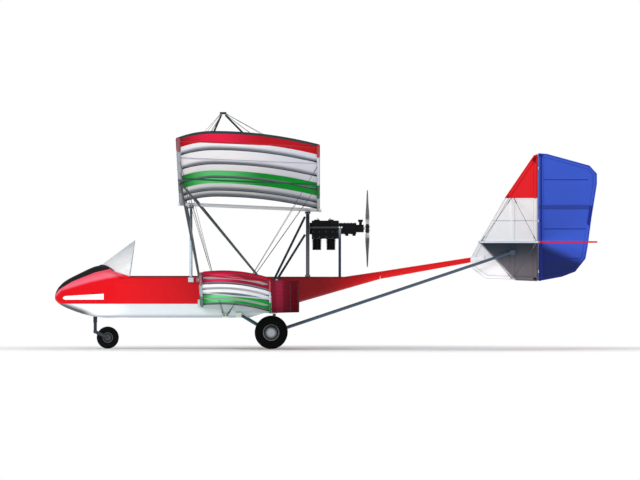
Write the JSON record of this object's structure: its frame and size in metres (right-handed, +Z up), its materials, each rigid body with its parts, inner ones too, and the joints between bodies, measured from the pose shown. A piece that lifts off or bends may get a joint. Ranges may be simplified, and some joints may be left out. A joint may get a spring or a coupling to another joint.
{
  "type": "pusher biplane ultralight aircraft",
  "caption": "Tandem open-cockpit ultralight biplane with striped fabric wings, kingpost rigging, pusher propeller, tricycle gear and a tall tail.",
  "frame": {"origin": "on the ground, midway between nose and rudder and between the wing tips", "axes": "+X from the nose towards the tail, +Y to the right-hand wing, +Z up"},
  "size_m": [6.612, 10.0138, 2.886],
  "materials": {
    "white_paint": "gloss",
    "shell_red": "gloss",
    "clear_screen": "polished",
    "panel_black": "matte",
    "seat_cloth": "woven",
    "tube_grey": "satin",
    "tube_light": "satin",
    "sailcloth": "woven",
    "aileron_cloth": "woven",
    "fin_cloth": "woven",
    "rudder_cloth": "woven",
    "stab_cloth": "woven",
    "elevator_cloth": "woven",
    "engine_black": "matte",
    "prop_wood": "satin",
    "steel": "brushed",
    "wire_steel": "satin",
    "boom_red": "gloss",
    "gear_steel": "satin",
    "rim_silver": "satin",
    "tyre_black": "matte"
  },
  "bodies": {
    "airframe": {"pod_upper_shell": "shell_red", "pod_floor_pan": "white_paint", "windscreen": "clear_screen", "instrument_panel": "panel_black", "seat_front": "seat_cloth", "seat_rear": "seat_cloth", "cockpit_controls": "tube_grey", "rear_bulkhead": "white_paint", "rear_fuselage": "shell_red", "tail_boom": "boom_red", "keel_tube": "tube_grey", "upper_sail_left": "sailcloth", "upper_sail_right": "sailcloth", "upper_frame_left": "tube_grey", "upper_frame_right": "tube_grey", "upper_ribs_left": "tube_grey", "upper_ribs_right": "tube_grey", "lower_sail_left": "sailcloth", "lower_sail_right": "sailcloth", "lower_frame_left": "tube_light", "lower_frame_right": "tube_light", "lower_ribs_left": "tube_grey", "lower_ribs_right": "tube_grey", "wing_root_plates": "tube_light", "front_cabane_struts": "tube_grey", "rear_cabane_struts": "tube_grey", "rear_braces": "tube_grey", "lift_struts": "tube_grey", "kingpost": "tube_grey", "flying_wires": "wire_steel", "landing_wires": "wire_steel", "tail_wires": "wire_steel", "fin": "fin_cloth", "stabilizer_left": "stab_cloth", "stabilizer_right": "stab_cloth", "engine_block": "engine_black", "engine_cylinders": "engine_black", "gearbox": "engine_black", "engine_bearers": "tube_light", "engine_supports": "tube_light", "axle_beam": "gear_steel", "gear_brackets": "gear_steel", "gear_struts": "tube_grey", "tail_braces": "tube_grey", "nose_leg": "gear_steel"},
    "nose_fork": {"nose_fork": "gear_steel"},
    "nose_wheel": {"nose_rim": "rim_silver", "nose_tyre": "tyre_black"},
    "main_wheel_left": {"main_rim_left": "rim_silver", "main_tyre_left": "tyre_black"},
    "main_wheel_right": {"main_rim_right": "rim_silver", "main_tyre_right": "tyre_black"},
    "propeller": {"propeller": "prop_wood", "propeller_shaft": "steel"},
    "rudder": {"rudder": "rudder_cloth"},
    "elevator_left": {"elevator_left": "elevator_cloth"},
    "elevator_right": {"elevator_right": "elevator_cloth"},
    "aileron_left": {"aileron_left": "aileron_cloth"},
    "aileron_right": {"aileron_right": "aileron_cloth"}
  },
  "joints": [
    {"name": "nose_steer", "type": "hinge", "parent": "airframe", "child": "nose_fork", "pos_m": [-2.815, 0, 0.3], "axis": [0, 0, 1], "range_deg": [-30, 30]},
    {"name": "nose_wheel_spin", "type": "hinge", "parent": "nose_fork", "child": "nose_wheel", "pos_m": [-2.662, 0, 0.135], "axis": [0, 1, 0], "continuous": true},
    {"name": "main_wheel_left_spin", "type": "hinge", "parent": "airframe", "child": "main_wheel_left", "pos_m": [-0.667, -0.76, 0.2], "axis": [0, 1, 0], "continuous": true},
    {"name": "main_wheel_right_spin", "type": "hinge", "parent": "airframe", "child": "main_wheel_right", "pos_m": [-0.667, 0.76, 0.2], "axis": [0, 1, 0], "continuous": true},
    {"name": "propeller_spin", "type": "hinge", "parent": "airframe", "child": "propeller", "pos_m": [0.505, 0, 1.465], "axis": [1, 0, 0], "continuous": true},
    {"name": "rudder_swing", "type": "hinge", "parent": "airframe", "child": "rudder", "pos_m": [2.606, 0, 1.6], "axis": [0, 0, 1], "range_deg": [-25, 25]},
    {"name": "elevator_left_tilt", "type": "hinge", "parent": "airframe", "child": "elevator_left", "pos_m": [2.598, -0.7, 1.301], "axis": [0, 1, 0], "range_deg": [-25, 25]},
    {"name": "elevator_right_tilt", "type": "hinge", "parent": "airframe", "child": "elevator_right", "pos_m": [2.598, 0.7, 1.301], "axis": [0, 1, 0], "range_deg": [-25, 25]},
    {"name": "aileron_left_tilt", "type": "hinge", "parent": "airframe", "child": "aileron_left", "pos_m": [-0.647, -0.3458, 0.44312], "axis": [0, 0.99, -0.1409], "range_deg": [-20, 20]},
    {"name": "aileron_right_tilt", "type": "hinge", "parent": "airframe", "child": "aileron_right", "pos_m": [-0.647, 0.3458, 0.44312], "axis": [0, 0.99, 0.1409], "range_deg": [-20, 20]}
  ],
  "couplings": [
    {"joint": "elevator_right_tilt", "follows": "elevator_left_tilt", "ratio": 1},
    {"joint": "aileron_right_tilt", "follows": "aileron_left_tilt", "ratio": -1}
  ]
}
